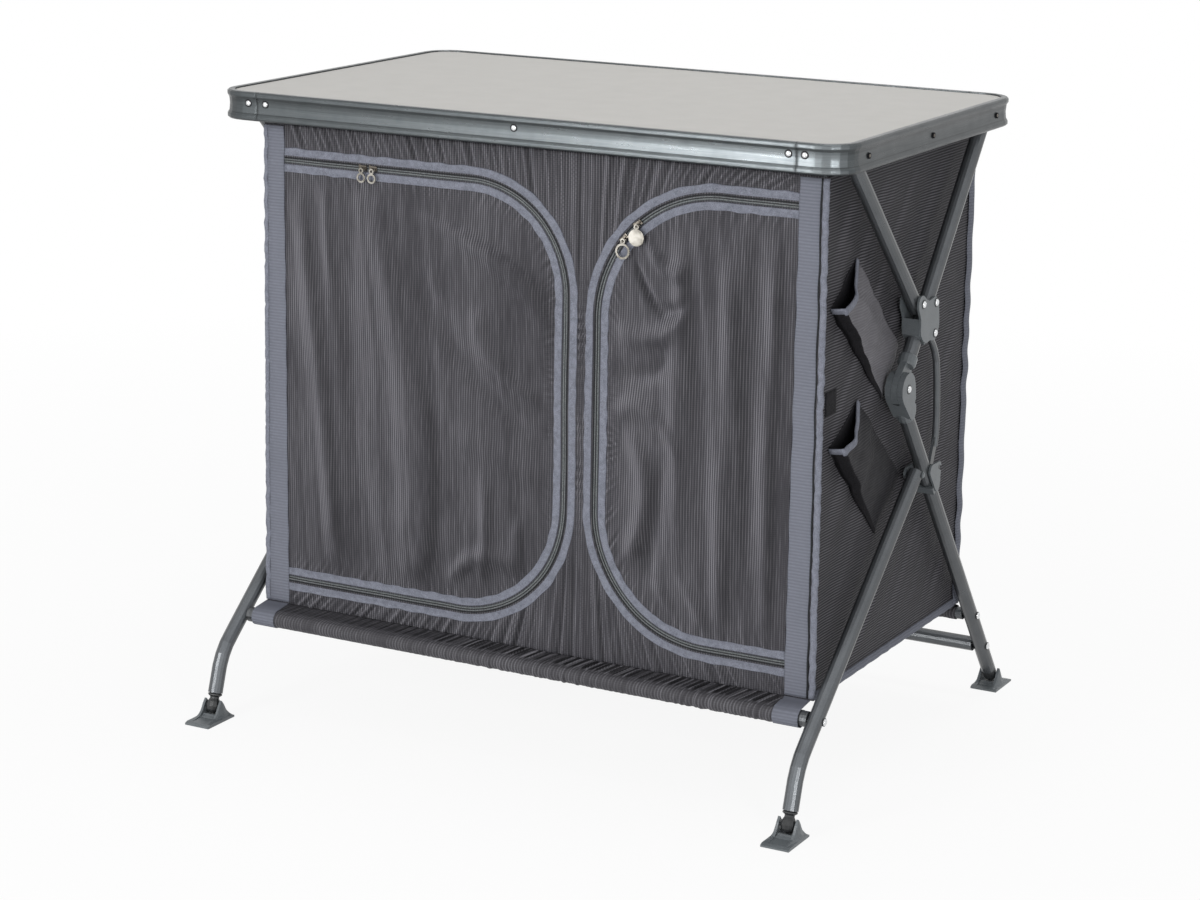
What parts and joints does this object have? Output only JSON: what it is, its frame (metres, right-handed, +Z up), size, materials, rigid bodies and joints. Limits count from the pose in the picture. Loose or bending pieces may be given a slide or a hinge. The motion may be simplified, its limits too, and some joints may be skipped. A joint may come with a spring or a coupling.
{
  "type": "camping cupboard",
  "caption": "Folding camping cupboard: a rimmed worktop on a hinged steel tube frame, with a zipped fabric case of shelves hung beneath and pockets on one side.",
  "frame": {"origin": "on the floor, under the middle of the worktop", "axes": "+X to the right along the front edge, +Y from the doors to the back panel, +Z up"},
  "size_m": [0.85, 0.709, 0.8],
  "materials": {
    "laminate": "pale grey laminate on board, satin",
    "rim": "grey anodised, satin",
    "tube_paint": "grey-green enamel, satin",
    "bracket_nylon": "grey nylon, semi-matt",
    "foot_nylon": "black nylon, matt",
    "case_cloth": "dark grey ribbed polyester with lighter grey tape",
    "zip_metal": "nickel plated"
  },
  "bodies": {
    "root": {"worktop_board": "laminate", "rim_front": "rim", "rim_rear": "rim", "rim_left": "rim", "rim_right": "rim", "rail_left": "rim", "rail_right": "rim", "front_panel": "case_cloth", "back_panel": "case_cloth", "side_panel_left": "case_cloth", "side_panel_right": "case_cloth", "floor_deck": "case_cloth", "shelf_left": "case_cloth", "shelf_right": "case_cloth", "divider": "case_cloth", "side_pocket_upper": "case_cloth", "side_pocket_lower": "case_cloth"},
    "upper_rear": {"upper_rear_tube_left": "tube_paint", "upper_rear_tube_right": "tube_paint", "top_rear_bar": "tube_paint", "hub_bracket_left": "bracket_nylon", "hub_bracket_right": "bracket_nylon", "knuckle_upper_left": "bracket_nylon", "knuckle_upper_right": "bracket_nylon"},
    "upper_front": {"upper_front_tube_left": "tube_paint", "upper_front_tube_right": "tube_paint", "top_front_bar": "tube_paint"},
    "rear_legs": {"rear_leg_left": "tube_paint", "rear_leg_right": "tube_paint", "knuckle_lower_left": "bracket_nylon", "knuckle_lower_right": "bracket_nylon", "lower_bracket_left": "bracket_nylon", "lower_bracket_right": "bracket_nylon", "rear_fabric_bar": "tube_paint", "rear_cross_bar": "tube_paint", "rear_bar_sleeve": "case_cloth", "foot_plug_rear_left": "foot_nylon", "foot_plug_rear_right": "foot_nylon"},
    "front_legs": {"front_leg_left": "tube_paint", "front_leg_right": "tube_paint", "front_lower_bar": "tube_paint", "front_bar_sleeve": "case_cloth", "foot_plug_front_left": "foot_nylon", "foot_plug_front_right": "foot_nylon"},
    "stay_left": {"stay_left": "tube_paint"},
    "stay_right": {"stay_right": "tube_paint"},
    "foot_pad_front_left": {"foot_pad_front_left": "bracket_nylon"},
    "foot_pad_front_right": {"foot_pad_front_right": "bracket_nylon"},
    "foot_pad_rear_left": {"foot_pad_rear_left": "bracket_nylon"},
    "foot_pad_rear_right": {"foot_pad_rear_right": "bracket_nylon"},
    "door_left": {"door_left": "case_cloth"},
    "door_right": {"door_right": "case_cloth"},
    "zip_slider_left_a": {"zip_slider_left_a": "zip_metal"},
    "zip_pull_left_a": {"zip_pull_left_a": "zip_metal"},
    "zip_slider_left_b": {"zip_slider_left_b": "zip_metal"},
    "zip_pull_left_b": {"zip_pull_left_b": "zip_metal"},
    "zip_slider_right_a": {"zip_slider_right_a": "zip_metal"},
    "zip_pull_right_a": {"zip_pull_right_a": "zip_metal"},
    "zip_slider_right_b": {"zip_slider_right_b": "zip_metal"},
    "zip_pull_right_b": {"zip_pull_right_b": "zip_metal"}
  },
  "joints": [
    {"name": "fold", "type": "hinge", "parent": "upper_rear", "child": "rear_legs", "pos_m": [0, -0.034, 0.479], "axis": [1, 0, 0], "range_deg": [0, 79], "deforming": ["front_panel", "back_panel", "side_panel_left", "side_panel_right", "floor_deck", "shelf_left", "shelf_right", "divider", "side_pocket_upper", "side_pocket_lower", "door_left", "door_right"]},
    {"name": "rear_tube_hinge", "type": "hinge", "parent": "root", "child": "upper_rear", "pos_m": [0, 0.196, 0.771], "axis": [1, 0, 0], "range_deg": [0, 40.3]},
    {"name": "front_tube_hinge", "type": "hinge", "parent": "upper_rear", "child": "upper_front", "pos_m": [0, -0.001, 0.577], "axis": [1, 0, 0], "range_deg": [-80.6, 0]},
    {"name": "front_leg_hinge", "type": "hinge", "parent": "rear_legs", "child": "front_legs", "pos_m": [0, 0.02508, 0.35977], "axis": [1, 0, 0], "range_deg": [0, 69.7]},
    {"name": "stay_left_hinge", "type": "hinge", "parent": "upper_rear", "child": "stay_left", "pos_m": [-0.405, 0.039, 0.535], "axis": [1, 0, 0], "range_deg": [0, 105.2]},
    {"name": "stay_right_hinge", "type": "hinge", "parent": "upper_rear", "child": "stay_right", "pos_m": [0.405, 0.039, 0.535], "axis": [1, 0, 0], "range_deg": [0, 105.2]},
    {"name": "foot_pad_front_left_tilt", "type": "hinge", "parent": "front_legs", "child": "foot_pad_front_left", "pos_m": [-0.405, -0.3177, 0.0175], "axis": [1, 0, 0], "range_deg": [-20, 20]},
    {"name": "foot_pad_rear_left_tilt", "type": "hinge", "parent": "rear_legs", "child": "foot_pad_rear_left", "pos_m": [-0.405, 0.3205, 0.0175], "axis": [1, 0, 0], "range_deg": [-20, 20]},
    {"name": "foot_pad_front_right_tilt", "type": "hinge", "parent": "front_legs", "child": "foot_pad_front_right", "pos_m": [0.405, -0.3177, 0.0175], "axis": [1, 0, 0], "range_deg": [-20, 20]},
    {"name": "foot_pad_rear_right_tilt", "type": "hinge", "parent": "rear_legs", "child": "foot_pad_rear_right", "pos_m": [0.405, 0.3205, 0.0175], "axis": [1, 0, 0], "range_deg": [-20, 20]},
    {"name": "door_left_hinge", "type": "hinge", "parent": "root", "child": "door_left", "pos_m": [-0.351, -0.2245, 0.44], "axis": [0, 0, 1], "range_deg": [-165, 0]},
    {"name": "door_right_hinge", "type": "hinge", "parent": "root", "child": "door_right", "pos_m": [0.351, -0.2245, 0.44], "axis": [0, 0, -1], "range_deg": [-165, 0]},
    {"name": "zip_slider_left_a_run", "type": "slide", "parent": "door_left", "child": "zip_slider_left_a", "axis": [1, 0, 0], "range_m": [-0.1, 0]},
    {"name": "zip_pull_left_a_swing", "type": "hinge", "parent": "zip_slider_left_a", "child": "zip_pull_left_a", "pos_m": [-0.2345, -0.2283, 0.714], "axis": [1, 0, 0], "range_deg": [-100, 0]},
    {"name": "zip_slider_left_b_run", "type": "slide", "parent": "door_left", "child": "zip_slider_left_b", "axis": [1, 0, 0], "range_m": [0, 0.13]},
    {"name": "zip_pull_left_b_swing", "type": "hinge", "parent": "zip_slider_left_b", "child": "zip_pull_left_b", "pos_m": [-0.2195, -0.2283, 0.714], "axis": [1, 0, 0], "range_deg": [-100, 0]},
    {"name": "zip_slider_right_a_run", "type": "hinge", "parent": "door_right", "child": "zip_slider_right_a", "pos_m": [0.253, -0.2237, 0.562], "axis": [0, 1, 0], "range_deg": [-38, 0]},
    {"name": "zip_pull_right_a_swing", "type": "hinge", "parent": "zip_slider_right_a", "child": "zip_pull_right_a", "pos_m": [0.12866, -0.2283, 0.66269], "axis": [1, 0, 0], "range_deg": [-100, 0]},
    {"name": "zip_slider_right_b_run", "type": "hinge", "parent": "door_right", "child": "zip_slider_right_b", "pos_m": [0.253, -0.2237, 0.562], "axis": [0, 1, 0], "range_deg": [0, 40]},
    {"name": "zip_pull_right_b_swing", "type": "hinge", "parent": "zip_slider_right_b", "child": "zip_pull_right_b", "pos_m": [0.14636, -0.2283, 0.68128], "axis": [1, 0, 0], "range_deg": [-100, 0]}
  ],
  "couplings": [
    {"joint": "rear_tube_hinge", "follows": "fold", "ratio": 0.51},
    {"joint": "front_tube_hinge", "follows": "fold", "ratio": -1.02},
    {"joint": "front_leg_hinge", "follows": "fold", "ratio": 0.881},
    {"joint": "stay_left_hinge", "follows": "fold", "ratio": 1.33},
    {"joint": "stay_right_hinge", "follows": "fold", "ratio": 1.33}
  ]
}
